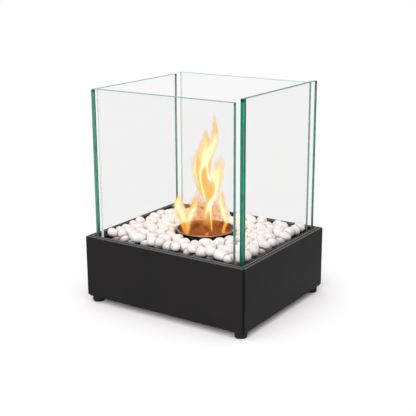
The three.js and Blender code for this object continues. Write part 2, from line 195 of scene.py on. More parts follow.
# The real grain is about 0.3 mm across. It is drawn at 1.2 mm so that it still shows.
grain = add(tree, "TexNoise", {"Vector": place, "Scale": 1 / 0.0012, "Detail": 3})
drift = add(tree, "TexNoise", {"Vector": place, "Scale": 1 / 0.07, "Detail": 2})
tone = add(tree, "Mix", {"Factor": drift, "A": linear(COAT_BLACK), "B": linear(COAT_SHADE)},
           data_type="RGBA")
# Painted shade: darker round the upright bends and in the lip's groove.
bend = add(tree, "Attribute", attribute_name="bend").outputs["Fac"]
# Painted sheen: the faces that look up are made greyer, for the bright room that they reflect.
facing = add(tree, "SeparateXYZ", {"Vector": add(tree, "NewGeometry").outputs["Normal"]})
level = add(tree, "MapRange", {"Value": facing.outputs["Z"], "From Min": 0.6, "From Max": 1.0,
                               "To Min": 0.0, "To Max": 0.9})
painted_tone = add(tree, "Mix", {"Factor": level, "A": tone, "B": linear(COAT_TOP_SHEEN)}, data_type="RGBA")
bend_shaded = add(tree, "Mix", {"Factor": bend, "A": painted_tone, "B": linear(COAT_BEND_SHADE)}, data_type="RGBA")
gloss = add(tree, "MapRange", {"Value": grain, "To Min": 0.40, "To Max": 0.54})
bump = add(tree, "Bump", {"Height": grain, "Strength": 0.25, "Distance": 0.0001})
add(tree, "BsdfPrincipled", {"Base Color": bend_shaded, "Roughness": gloss, "Normal": bump,
                             "Specular IOR Level": 0.06}, surface)

tray = piece("tray_folded_shell", [p for ring, _ in tray_rings for p in ring],
             looped([ring for ring, _ in tray_rings]), [powder_coat], "tray",
             ["tray_shell"])
# Painted shade at the upright bends and in the lip's groove.
bend_shade_mask = [max(b, z < tray_top and inset in LIP_GROOVE)
             for (inset, z), (_, bends) in zip(tray_section, tray_rings) for b in bends]
values(tray, "bend", bend_shade_mask)

# Bottom plate
# A flat 1 mm steel sheet that closes the tray from below. It is coated like the shell, and the
# foot screws hold it against the bottom flange.


def dress(node, material):
    """Gives a node that stays as it is the finish of the real piece."""
    for material_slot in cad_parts[node].material_slots:
        material_slot.material = material


dress("bottom_plate", powder_coat)

# Feet
# Four rubber buttons, 16 mm across and 8 mm high, each moulded in one with a recess from below
# for the screw head. A screw and a nut hold each one through the bottom plate and the flange.

FOOT_TOP_EDGE = 0.5
FOOT_EDGE = 0.8
FOOT_RECESS = (4.2, 4)
FOOT_RECESS_EDGE = 0.3
FOOT_BORE = 2.15
FOOT_FLATS = 64
RUBBER_BLACK = "#0b0b0b"
RUBBER_DUST = "#181716"
ZINC = "#b4b6b8"
ZINC_TINT = "#a8a695"


def turned(profile, flats):
    """Points and faces of a profile of (radius, height) turned once round the upright axis."""
    angles = np.linspace(0, 2 * math.pi, flats, endpoint=False)
    rings = [[(r * math.cos(a), r * math.sin(a), z) for a in angles] for r, z in profile]
    return [p for ring in rings for p in ring], [f[::-1] for f in looped(rings)]


# Black rubber, compression moulded. It looks dead matt, with faint dust in its fine texture.
rubber, tree, surface = finish("black_rubber_moulded")
place = add(tree, "TexCoord").outputs["Object"]
# Mould texture of 0.8 mm.
texture = add(tree, "TexNoise", {"Vector": place, "Scale": 1 / 0.0008, "Detail": 2})
dust = add(tree, "Mix", {"Factor": texture, "A": linear(RUBBER_BLACK), "B": linear(RUBBER_DUST)},
           data_type="RGBA")
bump = add(tree, "Bump", {"Height": texture, "Strength": 0.3, "Distance": 0.0001})
add(tree, "BsdfPrincipled", {"Base Color": dust, "Roughness": 0.8, "Normal": bump,
                             "Specular IOR Level": 0.3}, surface)

# Mild steel, bright zinc plated. It looks light grey with patches of a faint yellow passivation.
zinc, tree, surface = finish("zinc_plated_steel")
place = add(tree, "TexCoord").outputs["Object"]
# Plating patches of 2 mm.
patch = add(tree, "TexNoise", {"Vector": place, "Scale": 1 / 0.002, "Detail": 2})
tint = add(tree, "Mix", {"Factor": patch, "A": linear(ZINC), "B": linear(ZINC_TINT)},
           data_type="RGBA")
gloss = add(tree, "MapRange", {"Value": patch, "To Min": 0.28, "To Max": 0.42})
add(tree, "BsdfPrincipled", {"Base Color": tint, "Metallic": 1.0, "Roughness": gloss}, surface)

foot_low, foot_high = box_mm("foot_front_left")
foot_radius = (foot_high[0] - foot_low[0]) / 2
foot_profile = (
    arc((foot_radius - FOOT_TOP_EDGE, foot_high[2] - FOOT_TOP_EDGE), FOOT_TOP_EDGE, 90, 0, 4)
    + arc((foot_radius - FOOT_EDGE, FOOT_EDGE), FOOT_EDGE, 0, -90, 5)
    + arc((FOOT_RECESS[0] + FOOT_RECESS_EDGE, FOOT_RECESS_EDGE), FOOT_RECESS_EDGE, 270, 180, 4)
    + [(FOOT_RECESS[0], FOOT_RECESS[1]), (FOOT_BORE, FOOT_RECESS[1]), (FOOT_BORE, foot_high[2])]
)
foot_points, foot_faces = turned(foot_profile, FOOT_FLATS)
for where in ("front_left", "front_right", "back_left", "back_right"):
    foot_low, foot_high = box_mm("foot_" + where)
    stand = (foot_low + foot_high) / 2 * (1, 1, 0)
    piece("rubber_foot_" + where, np.array(foot_points) + stand, foot_faces, [rubber], "tray",
          ["foot_" + where])
    dress("foot_screw_" + where, zinc)
    dress("foot_nut_" + where, zinc)

# Shelf
# A coated steel plate inside the tray, with a round hole for the burner, that carries the pebbles.
# It lies on four folded angle brackets, and a screw through each bracket holds it down.

dress("shelf_plate", powder_coat)
for where in ("front_first", "front_second", "back_first", "back_second"):
    dress("shelf_bracket_" + where, powder_coat)
    dress("shelf_screw_" + where, zinc)

# Glass channels
# Each pane stands in a channel folded from 1.2 mm steel and coated like the tray. Two flanges
# of each channel are riveted to the shelf, and the pebbles hide nearly all of it.

for side in ("front", "right", "back", "left"):
    dress("glass_channel_" + side, powder_coat)
    dress(f"channel_rivet_{side}_first", zinc)
    dress(f"channel_rivet_{side}_second", zinc)

# Burner cup
# A stainless steel cup, 76 mm across, deep drawn from 1 mm sheet with its rim rolled out to a
# thin bead. It stands on the bottom plate through the shelf's hole. Heat has browned its inside.

CUP_WALL = 1
CUP_RIM = 0.9
CUP_BEAD = 0.75
CUP_FOOT = 4
CUP_LIP_DEPTH = 1.4
CUP_WALL_FOOT = 20
CUP_WALL_TOP = 3.5
CUP_CENTRE = 0.5
CUP_FLATS = 144
STEEL = "#968c81"
STEEL_DARK = "#2e2119"
STEEL_BROWN = "#aa743a"
STAIN_TOP = 4
STAIN_DEPTH = 20

cup_low, cup_high = box_mm("burner_cup")
cup_bottom, cup_top = cup_low[2], cup_high[2]
cup_radius = cup_high[0] - CUP_RIM
cup_inside = cup_radius - CUP_WALL
bead = (cup_radius + CUP_RIM - CUP_BEAD, cup_top - CUP_BEAD)
wall_steps = np.linspace(cup_bottom + CUP_WALL_FOOT, cup_top - CUP_WALL_TOP, 6)
cup_profile = (
    [(CUP_CENTRE, cup_bottom + CUP_WALL)]
    + arc((cup_inside - CUP_FOOT + CUP_WALL, cup_bottom + CUP_FOOT), CUP_FOOT - CUP_WALL, 270, 360)
    + [(cup_inside, z) for z in wall_steps]
    + arc(bead, bead[0] - cup_inside, 180, 100, 4)
    + arc(bead, CUP_BEAD, 80, -70, 7)
    + [(cup_radius, z) for z in wall_steps[::-1]]
    + arc((cup_radius - CUP_FOOT, cup_bottom + CUP_FOOT), CUP_FOOT, 0, -90)
    + [(CUP_CENTRE, cup_bottom)]
)
cup_profile = [(r, min(z, cup_top)) for r, z in cup_profile]
cup_points, cup_faces = turned(cup_profile, CUP_FLATS)

# Stainless steel, deep drawn and heat tinted. The rim stays bright, the outer wall is dark, the
# inside has turned brown, and fine drawing lines run round it.
drawn_steel, tree, surface = finish("stainless_steel_drawn_heat_tinted")
place = add(tree, "TexCoord").outputs["Object"]
# Drawing lines 2.97 mm apart, where a wave of Scale 1 is a tenth of pi long. The real lines are
# finer than the picture can show.
lines = add(tree, "TexWave", {"Vector": place, "Scale": math.pi / 10 / 0.00297, "Distortion": 2.0,
                              "Detail": 2}, bands_direction="Z").outputs["Fac"]
# Heat stains of 9 mm.
cloud = add(tree, "TexNoise", {"Vector": place, "Scale": 1 / 0.009, "Detail": 3})
dark_walled = add(tree, "Mix", {"Factor": add(tree, "Attribute", attribute_name="dark_wall").outputs["Fac"],
                          "A": linear(STEEL), "B": linear(STEEL_DARK)}, data_type="RGBA")
brown = add(tree, "Attribute", attribute_name="browned").outputs["Fac"]
browned = add(tree, "Mix", {"Factor": brown, "A": dark_walled, "B": linear(STEEL_BROWN)},
              data_type="RGBA")
# The stains are darkest under the rim and fade toward the bottom.
height = add(tree, "SeparateXYZ", {"Vector": place}).outputs["Z"]
under_rim = add(tree, "MapRange", {"Value": height, "From Min": (cup_top - STAIN_DEPTH) / 1000,
                                   "From Max": (cup_top - STAIN_TOP) / 1000, "To Min": -0.4,
                                   "To Max": 0.35})
patch = add(tree, "MapRange", {"Value": cloud, "From Min": 0.42, "From Max": 0.65, "To Max": 0.55})
stain = add(tree, "Math", {0: under_rim, 1: patch}, operation="ADD", use_clamp=True)
inner_stain = add(tree, "Math", {0: stain, 1: brown}, operation="MULTIPLY")
stained = add(tree, "Mix", {"Factor": inner_stain, "A": browned, "B": linear(STEEL_DARK)},
              data_type="RGBA")
gloss = add(tree, "MapRange", {"Value": cloud, "To Min": 0.22, "To Max": 0.40})
# The brown film hides half of the metal's own shine.
bare = add(tree, "MapRange", {"Value": brown, "To Min": 1.0, "To Max": 0.5})
bump = add(tree, "Bump", {"Height": lines, "Strength": 0.2, "Distance": 0.00008})
add(tree, "BsdfPrincipled", {"Base Color": stained, "Metallic": bare, "Roughness": gloss,
                             "Normal": bump}, surface)

cup = piece("burner_drawn_cup", cup_points, cup_faces, [drawn_steel], "burner",
            ["burner_cup"])
on_lip = [z > cup_top - CUP_LIP_DEPTH for r, z in cup_profile]
inside = [r <= cup_inside + 0.01 and not lip for (r, z), lip in zip(cup_profile, on_lip)]
values(cup, "dark_wall", np.repeat([not lip for lip in on_lip], CUP_FLATS))
values(cup, "browned", np.repeat(inside, CUP_FLATS))

# Ceramic fibre filling
# A plug of ceramic fibre felt in the cup that soaks up the fuel. It is cut a little smaller than
# the cup and pushed in, and the felt is singed brown.

PAD_EDGE = 2
PAD_FOOT = 4.4
PAD_TUFT = 0.6
PAD_TOP_EDGE = 5.7
PAD_CENTRE = 0.5
PAD_FLATS = 96
FELT_CREAM = "#8f7a62"
FELT_SINGED = "#3a2418"

felt_rng = np.random.default_rng(11)
pad_low, pad_high = box_mm("fibre_pad")
pad_radius, pad_top = pad_high[0], pad_high[2] - PAD_TUFT
pad_profile = (
    [(PAD_CENTRE, pad_low[2]), (pad_radius - PAD_FOOT, pad_low[2]),
     (pad_radius, pad_low[2] + PAD_FOOT), (pad_radius, (pad_low[2] + pad_top) / 2),
     (pad_radius, pad_top - PAD_EDGE)]
    + arc((pad_radius - PAD_EDGE, pad_top - PAD_EDGE), PAD_EDGE, 0, 90, 4)
    + [(r, pad_top) for r in np.linspace(pad_radius - PAD_TOP_EDGE, PAD_CENTRE, 9)]
)
pad_points, pad_faces = turned(pad_profile, PAD_FLATS)
pad_points = np.array(pad_points)
on_top = pad_points[:, 2] > pad_top - 0.4
pad_points[on_top, 2] += felt_rng.uniform(-1.5 * PAD_TUFT, PAD_TUFT, on_top.sum())

# Ceramic fibre felt, needled. It looks woolly and dead matt, dull cream with singed brown tufts.
felt, tree, surface = finish("ceramic_fibre_felt_needled")
place = add(tree, "TexCoord").outputs["Object"]
# Tufts of 3 mm.
tuft = add(tree, "TexNoise", {"Vector": place, "Scale": 1 / 0.003, "Detail": 6})
singed = add(tree, "Mix", {"Factor": tuft, "A": linear(FELT_SINGED), "B": linear(FELT_CREAM)},
             data_type="RGBA")
bump = add(tree, "Bump", {"Height": tuft, "Strength": 0.8, "Distance": 0.0008})
add(tree, "BsdfPrincipled", {"Base Color": singed, "Roughness": 1.0, "Normal": bump,
                             "Specular IOR Level": 0.1}, surface)

piece("fibre_felt_plug", pad_points, pad_faces, [felt], "burner",
      ["fibre_pad"], sharp=60)

# Pebbles
# Several hundred tumbled white stones, 12 to 21 mm long, poured loose on the shelf round the
# burner and heaped over the lip. Each has its own shape and tone.

STONE_COUNT = 405
STONE_RADII = (5.9, 8.3)
# Shares of a stone's radius: its half length, width and thickness, its swellings, and how near it
# comes to another stone, to a wall, to the floor and to its level.
STONE_LONG = (1.0, 1.26)
STONE_WIDE = (0.92, 1.04)
STONE_THICK = (0.86, 1.0)
STONE_SWELL = 0.06
STONE_TOUCH = 0.99
STONE_SIDE = 1.02
STONE_UNDER = 0.8
STONE_OVER = 0.88
# A power under 1 makes the ball fuller toward a box.
STONE_FULLNESS = 0.94
STONE_WAVES = (1.4, 3.0)
STONE_TILT = 0.38
STONE_TONES = (0, 1.6)
STONE_TOPS = (4.5, 10.0)
# Where the stones are poured, and how they settle.
POUR_EDGE = 8
POUR_HEIGHTS = (6, 22)
SETTLE_STEPS = 240
SETTLE_CALM = 180
SETTLE_DROP = 0.15
SETTLE_SHAKE = 0.5
SETTLE_PRESS = 0.45
# The bed's gap to the cup and to the tray's wall, and its dip round the cup.
BED_GAP = 0.6
BED_EDGE = 1.8
BED_DIP = 5.5
BED_DIP_REACH = 22
# How the painted shade in the gaps between stones darkens them: from this near on, and from above
# to below the lip.
NEIGHBOUR_REACH = 2.4
CREVICE = 1.8
CREVICE_DARK = 0.72
GAP_SHADE_TOP = 2
GAP_SHADE_BOTTOM = 5
STONE_WHITE = "#f8f3f1"
STONE_WARM = "#f0e5e0"
STONE_VEIN = "#dccfca"
STONE_GAP_SHADE = "#40291b"

sectors = ("right", "back_right", "back", "back_left", "left", "front_left", "front",
           "front_right")
bed_corners = np.array([corner for sector in sectors for corner in box_mm("pebbles_" + sector)])
bed_reach = bed_corners[:, :2].max(0)
bed_floor = bed_corners[:, 2].min()
bed_hole = cup_high[0] + BED_GAP

stone_rng = np.random.default_rng(24)
stone_radius = stone_rng.uniform(*STONE_RADII, STONE_COUNT)
# How high each stone's top may lie, from the lip of the tray up. The bed dips toward the burner.
stone_level = tray_top + stone_rng.uniform(*STONE_TOPS, STONE_COUNT)
stones = np.column_stack([
    stone_rng.uniform(-bed_reach[0] + POUR_EDGE, bed_reach[0] - POUR_EDGE, STONE_COUNT),
    stone_rng.uniform(-bed_reach[1] + POUR_EDGE, bed_reach[1] - POUR_EDGE, STONE_COUNT),
    stone_rng.uniform(bed_floor + POUR_HEIGHTS[0], bed_floor + POUR_HEIGHTS[1], STONE_COUNT)])
apart_least = (stone_radius[:, None] + stone_radius[None, :]) * STONE_TOUCH
np.fill_diagonal(apart_least, 0)
# The stones sink and are shaken less and less, and each time they push each other apart, in from
# the tray's walls, out from the burner's hole and down to their level.
for settle in range(SETTLE_STEPS):
    stones[:, 2] -= SETTLE_DROP
    shake = max(SETTLE_SHAKE * (1 - settle / SETTLE_CALM), 0.001)
    stones[:, :2] += stone_rng.normal(0, shake, (STONE_COUNT, 2))
    for _ in range(3):
        between = stones[:, None, :] - stones[None, :, :]
        apart = np.sqrt((between ** 2).sum(2)) + 1e-6
        press = np.clip(apart_least - apart, 0, None) / apart * SETTLE_PRESS
        stones += (between * press[:, :, None]).sum(1)
        for axis in (0, 1):
            edge = bed_reach[axis] - BED_EDGE - stone_radius * STONE_SIDE
            stones[:, axis] = np.clip(stones[:, axis], -edge, edge)
        out = np.hypot(stones[:, 0], stones[:, 1])
        push = np.clip(bed_hole + stone_radius * STONE_SIDE - out, 0, None) / out
        stones[:, :2] += stones[:, :2] * push[:, None]
        dip = BED_DIP * np.clip(1 - (out - bed_hole) / BED_DIP_REACH, 0, 1)
        stones[:, 2] = np.clip(stones[:, 2], bed_floor + stone_radius * STONE_UNDER,
                               stone_level - dip - stone_radius * STONE_OVER)

round_mesh = bmesh.new()
bmesh.ops.create_icosphere(round_mesh, subdivisions=4, radius=1)
ball = np.array([v.co for v in round_mesh.verts])
ball_faces = np.array([[v.index for v in f.verts] for f in round_mesh.faces])
round_mesh.free()


def pebble(rng, radius, centre):
    """One tumbled stone: a flattened ball with soft swellings, tilted and turned at random."""
    way = rng.normal(size=(4, 3))
    way /= np.linalg.norm(way, axis=1)[:, None]
    swell = sum(STONE_SWELL * np.sin(rng.uniform(*STONE_WAVES) * ball @ d + rng.uniform(0, 6))
                for d in way)
    body = np.sign(ball) * np.abs(ball) ** STONE_FULLNESS * (1 + swell)[:, None]
    body = body * (radius * np.array([rng.uniform(*STONE_LONG), rng.uniform(*STONE_WIDE),
                                      rng.uniform(*STONE_THICK)]))
    tilt, turn = rng.normal(0, STONE_TILT), rng.uniform(0, 2 * math.pi)
    c, s = math.cos(tilt), math.sin(tilt)
    body = body @ np.array([[c, 0, s], [0, 1, 0], [-s, 0, c]])
    c, s = math.cos(turn), math.sin(turn)
    body = body @ np.array([[c, s, 0], [-s, c, 0], [0, 0, 1]]) + centre
    for axis in (0, 1):
        body[:, axis] = np.clip(body[:, axis], -bed_reach[axis], bed_reach[axis])
    out = np.hypot(body[:, 0], body[:, 1])
    body[:, :2] *= np.maximum(1, bed_hole / out)[:, None]
    body[:, 2] = np.maximum(body[:, 2], bed_floor)
    return body


# White marble pebbles, tumbled. They look matt with a faint polish, nearly white, with soft warm
# clouding, a few faint veins and fine pits.
marble, tree, surface = finish("white_marble_tumbled")
place = add(tree, "TexCoord").outputs["Object"]
shade = add(tree, "Attribute", attribute_name="tone").outputs["Fac"]
# Clouds of 7 mm and pits of 1.2 mm.
cloud = add(tree, "TexNoise", {"Vector": place, "Scale": 1 / 0.007, "Detail": 4})
pits = add(tree, "TexNoise", {"Vector": place, "Scale": 1 / 0.0012, "Detail": 3})
mixed = add(tree, "Math", {0: shade, 1: cloud}, operation="MULTIPLY")
body_tone = add(tree, "Mix", {"Factor": mixed, "A": linear(STONE_WHITE),
                              "B": linear(STONE_WARM)}, data_type="RGBA")
seam = add(tree, "ValToRGB", {"Fac": cloud})
seam.color_ramp.elements[0].position = 0.60
seam.color_ramp.elements[0].color = (0, 0, 0, 1)
seam.color_ramp.elements[1].position = 0.72
seam.color_ramp.elements[1].color = (0.5, 0.5, 0.5, 1)
veined = add(tree, "Mix", {"Factor": seam, "A": body_tone, "B": linear(STONE_VEIN)},
             data_type="RGBA")
# Painted shade in the gaps, darker and darker from just above the lip's height down.
depth = add(tree, "SeparateXYZ", {"Vector": place}).outputs["Z"]
low = add(tree, "MapRange", {"Value": depth, "From Min": (tray_top + GAP_SHADE_TOP) / 1000,
                             "From Max": (tray_top - GAP_SHADE_BOTTOM) / 1000, "To Max": 0.95},
          interpolation_type="SMOOTHSTEP")
# Where a stone lies close to its neighbours, less light reaches it, and that shade is painted.
near = add(tree, "Attribute", attribute_name="crevice").outputs["Fac"]
gap_shade = add(tree, "Math", {0: low, 1: near}, operation="MAXIMUM")
painted_tone = add(tree, "Mix", {"Factor": gap_shade, "A": veined, "B": linear(STONE_GAP_SHADE)}, data_type="RGBA")
gloss = add(tree, "MapRange", {"Value": pits, "To Min": 0.42, "To Max": 0.62})
bump = add(tree, "Bump", {"Height": pits, "Strength": 0.25, "Distance": 0.00015})
add(tree, "BsdfPrincipled", {"Base Color": painted_tone, "Roughness": gloss, "Normal": bump,
                             "Specular IOR Level": 0.4}, surface)

sector_of = np.round(np.arctan2(stones[:, 1], stones[:, 0]) / (math.pi / 4)).astype(int) % 8
for number, sector in enumerate(sectors):
    mine = np.flatnonzero(sector_of == number)
    shapes = [pebble(stone_rng, stone_radius[i], stones[i]) for i in mine]
    # How much painted shade each point of a stone takes from its nearest neighbour.
    crevices = []
    for i, shape in zip(mine, shapes):
        apart = np.linalg.norm(stones - stones[i], axis=1)
        beside = np.flatnonzero((apart < NEIGHBOUR_REACH * STONE_RADII[1]) & (apart > 0))
        reach = np.linalg.norm(shape[:, None, :] - stones[beside][None], axis=2)
        gap = (reach - stone_radius[beside]).min(1)
        crevices.append(CREVICE_DARK * np.clip(1 - gap / CREVICE, 0, 1) ** 1.2)
    faces = np.concatenate([ball_faces + len(ball) * k for k in range(len(mine))])
    made = piece("stones_" + sector, np.concatenate(shapes), faces, [marble], "tray",
                 ["pebbles_" + sector], sharp=80)
    values(made, "tone", np.repeat(stone_rng.uniform(*STONE_TONES, len(mine)), len(ball)))
    values(made, "crevice", np.concatenate(crevices))

# Glass panes
# Four panes of 5 mm clear float glass with ground and polished edges. Each one is pushed down
# into its channel and lifts out upward, and the corners between the panes stay open.

GLASS_ARRIS = 0.4
# The dark end of an edge under its top, and how far its shade reaches up from the lip.
GLASS_CAP = 3
GLASS_CAP_FADE = 1.5
GLASS_CAP_DARK = 0.85
EDGE_SHADE = 34
PANE_TINT = "#f8f8f8"
# The edge's own greens, and the colours of its painted highlights, shade and reflections.
EDGE_DEEP = "#0b6149"
EDGE_GREEN = "#2f8d6e"
EDGE_LIGHT = "#7fbfa9"
EDGE_TOP = "#4d8072"
EDGE_DARK = "#04291f"
EDGE_PALE = "#e9f0ed"
EDGE_MIRRORED = "#0b6a52"
# How pale each pane's two ends are painted at their outer and inner sides, where they give back the
# room's light, how pale its top edge is painted with the room's reflection, and how far the painted
# mirror image of its first end reaches into the face beside it. The first end is the left one of
# the front and back panes, and the near one of the panes at the sides.
PANE_LOOKS = {
    "front": ((1, 1), (0, 0.4), 0.12, 0),
    "right": ((0, 0), (0, 0.1), 0, 4.4),
    "back": ((1, 0.9), (0.3, 0.2), 0.4, 0),
    "left": ((0.15, 0), (0, 0.5), 0.25, 2.4),
}

# Clear float glass, polished flat and coated against glare. It is nearly invisible and dims what
# is behind it only a little. Lamps shine through it. Its IOR is far below that of bare glass,
# because the coating leaves only a faint mirror image of the room.
float_glass, tree, surface = finish("clear_float_glass")
pane_glass = add(tree, "BsdfPrincipled", {
    "Base Color": linear(PANE_TINT), "Roughness": 0.0, "IOR": 1.12, "Transmission Weight": 1.0})
open_way = add(tree, "BsdfTransparent", {"Color": linear(PANE_TINT)})
path = add(tree, "LightPath")
lamp_way = add(tree, "MixShader", {"Fac": path.outputs["Is Shadow Ray"], 1: pane_glass,
                                   2: open_way})
add(tree, "MixShader", {"Fac": path.outputs["Is Diffuse Ray"], 1: lamp_way, 2: open_way}, surface)

# The same glass seen along its ground edge. The long way through the sheet shows as deep green, and
# the edge is dark under the top. Painted light and shade lie over the green: stripes across the
# edge, clouds of shade along it, a pale highlight on each arris, and shade at the foot. Where an
# end sends the light of the room to the eye, it is painted nearly white, as a reflection.
ground_edge, tree, surface = finish("float_glass_ground_edge")
place = add(tree, "TexCoord").outputs["Object"]
height = add(tree, "SeparateXYZ", {"Vector": place}).outputs["Z"]
across = add(tree, "Attribute", attribute_name="across").outputs["Fac"]
# Painted light across the edge: a pale highlight on each arris, and stripes of green and deep green
# between.
stripes = add(tree, "ValToRGB", {"Fac": across})
stops = stripes.color_ramp.elements
stops[0].position, stops[0].color = 0.0, linear(EDGE_LIGHT)
stops[1].position, stops[1].color = 1.0, linear(EDGE_LIGHT)
for position, code in ((0.10, EDGE_GREEN), (0.28, EDGE_DEEP), (0.50, EDGE_GREEN),
                       (0.66, EDGE_DEEP), (0.88, EDGE_DEEP)):
    stops.new(position).color = linear(code)
# Painted shade at the foot, where little light comes up from the black tray.
low = add(tree, "MapRange", {"Value": height, "From Min": tray_top / 1000,
                             "From Max": (tray_top + EDGE_SHADE) / 1000, "To Min": 0.8,
                             "To Max": 0.0})
# Clouds of painted shade, 14 mm across.
cloud = add(tree, "TexNoise", {"Vector": place, "Scale": 1 / 0.014, "Detail": 2})
clouded = add(tree, "MapRange", {"Value": cloud, "From Min": 0.45, "From Max": 0.8, "To Max": 0.5})
darker = add(tree, "Math", {0: low, 1: clouded}, operation="MAXIMUM")
deep = add(tree, "Mix", {"Factor": darker, "A": stripes, "B": linear(EDGE_DARK)}, data_type="RGBA")
cap = add(tree, "Attribute", attribute_name="cap").outputs["Fac"]
capped = add(tree, "Mix", {"Factor": cap, "A": deep, "B": linear(EDGE_DARK)}, data_type="RGBA")
# The room's light that an end gives back is painted in, up to nearly white.
pale = add(tree, "Attribute", attribute_name="pale").outputs["Fac"]
paled = add(tree, "Mix", {"Factor": pale, "A": capped, "B": linear(EDGE_PALE)}, data_type="RGBA")
# The top edge takes a painted reflection of the room, as pale as its pane's top paleness.
facing = add(tree, "SeparateXYZ", {"Vector": add(tree, "NewGeometry").outputs["Normal"]})
upward = add(tree, "Math", {0: facing.outputs["Z"], 1: 0.5}, operation="GREATER_THAN")
top_tone = add(tree, "Attribute", attribute_name="top_pale").outputs["Fac"]
top_edge = add(tree, "Mix", {"Factor": top_tone, "A": linear(EDGE_TOP), "B": linear(EDGE_PALE)},
               data_type="RGBA")
topped = add(tree, "Mix", {"Factor": upward, "A": paled, "B": top_edge}, data_type="RGBA")
# Ripples of 8 mm along the edge, left by the grinding wheel.
ripple = add(tree, "TexNoise", {"Vector": place, "Scale": 1 / 0.008, "Detail": 2})
bump = add(tree, "Bump", {"Height": ripple, "Strength": 0.3, "Distance": 0.0002})
add(tree, "BsdfPrincipled", {"Base Color": topped, "Roughness": 0.3, "IOR": 1.5,
                             "Normal": bump, "Specular IOR Level": 0.08}, surface)

# The dark end of a pane again, mirrored in the clear face beside it.
mirrored_edge, tree, surface = finish("float_glass_mirrored_edge")
place = add(tree, "TexCoord").outputs["Object"]
height = add(tree, "SeparateXYZ", {"Vector": place}).outputs["Z"]
# Uneven bands of 30 mm along the height, and darker toward the channel.
band = add(tree, "TexNoise", {"Vector": place, "Scale": 1 / 0.03, "Detail": 2})
low = add(tree, "MapRange", {"Value": height, "From Min": tray_top / 1000,
                             "From Max": (tray_top + EDGE_SHADE) / 1000, "To Min": 0.7,
                             "To Max": 0.0})
faint = add(tree, "MapRange", {"Value": band, "To Max": 0.4})
darker = add(tree, "Math", {0: faint, 1: low}, operation="MAXIMUM")
mirrored = add(tree, "Mix", {"Factor": darker, "A": linear(EDGE_MIRRORED),
                             "B": linear(EDGE_DARK)}, data_type="RGBA")
add(tree, "BsdfPrincipled", {"Base Color": mirrored, "Roughness": 0.2, "IOR": 1.5,
                             "Specular IOR Level": 0.05}, surface)


def standing(rings, start=0):
    """The faces of closed rings that stand on each other, with the lowest and highest closed."""
    size = len(rings[0])
    end = start + len(rings) * size
    sides = [tuple(start + corner for corner in face) for face in looped(rings)[:-size]]
    return sides + [tuple(range(start + size - 1, start - 1, -1)), tuple(range(end - size, end))]


for side, (first_pale, last_pale, top_pale, mirror) in PANE_LOOKS.items():
    pane_low, pane_high = box_mm("glass_pane_" + side)
    middle, reach = (pane_low + pane_high) / 2, (pane_high - pane_low) / 2
    turned_round = reach[1] > reach[0]
    half, half_width = sorted(reach[:2])
    bottom, top = pane_low[2], pane_high[2]
    cut = GLASS_ARRIS
    mirror = max(mirror, 2 * cut)
    outline = [(-half_width, cut - half), (cut - half_width, -half), (mirror - half_width, -half),
               (half_width - cut, -half), (half_width, cut - half), (half_width, half - cut),
               (half_width - cut, half), (cut - half_width, half), (-half_width, half - cut)]
    inner = [(x * (half_width - cut) / half_width, y * (half - cut) / half) for x, y in outline]
    levels = [(bottom, inner), (bottom + cut, outline),
              (top - GLASS_CAP - GLASS_CAP_FADE, outline), (top - GLASS_CAP, outline),
              (top - cut, outline), (top, inner)]
    rings = [[(x, y, z) for x, y in ring] for z, ring in levels]
    points = [point for ring in rings for point in ring]
    # The clear glass is the two broad faces between the lowest and the highest arris. The first of
    # them begins after the mirrored strip, and all the rest is ground edge.
    finishes = []
    for level in range(len(levels) - 1):
        for k in range(len(outline)):
            clear = 0 < level < len(levels) - 2 and k in (2, 6)
            finishes.append(0 if clear else 2 if k == 1 and mirror > 2 * cut else 1)
    finishes += [1, 1]
    across_of = [(y + half) / (2 * half) for x, y, z in points]
    outer_at = -1 if side in ("front", "right") else 1
    pale_of = []
    for x, y, z in points:
        outer_pale, inner_pale = first_pale if x < 0 else last_pale
        pale_of.append(outer_pale if y * outer_at > 0 else inner_pale)
    cap_of = [GLASS_CAP_DARK if z >= top - GLASS_CAP else 0 for x, y, z in points]
    if turned_round:
        points = [(-y, x, z) for x, y, z in points]
    points = [(x + middle[0], y + middle[1], z) for x, y, z in points]
    made = piece("float_pane_" + side, points, standing(rings),
                 [float_glass, ground_edge, mirrored_edge], side + "_pane",
                 ["glass_pane_" + side], sharp=20)
    made.data.polygons.foreach_set("material_index", finishes)
    values(made, "across", across_of)
    values(made, "pale", pale_of)
    values(made, "cap", cap_of)
    values(made, "top_pale", [top_pale] * len(points))

# Flame
# A bioethanol flame, which isn't a solid piece. Tongues rise from the cup, twist and part, nearly
# white at the heart, yellow round it and peach or orange at the edges. Each one is a few skins of
# glowing gas, one inside the other, and is seen through.

PHOTO_AZIMUTH = math.radians(33.646)
PHOTO_ELEVATION = math.radians(15.720)
FLAME_ACROSS = np.array([math.cos(PHOTO_AZIMUTH), math.sin(PHOTO_AZIMUTH), 0])
FLAME_NEAR = np.array([math.sin(PHOTO_AZIMUTH), -math.cos(PHOTO_AZIMUTH), 0])
FLAME_UP = np.array([0, 0, 1])
# The corners round a skin, its depth over its width, how much it waves, and the shares of its
# line over which it fades at its foot and its tip.
FLAME_ROUND = 16
FLAME_FLATNESS = 0.8
FLAME_WAVE = 0.06
FLAME_FOOT_FADE = 0.18
FLAME_TIP_FADE = 0.3
FLAME_LIGHT = "#ffb468"

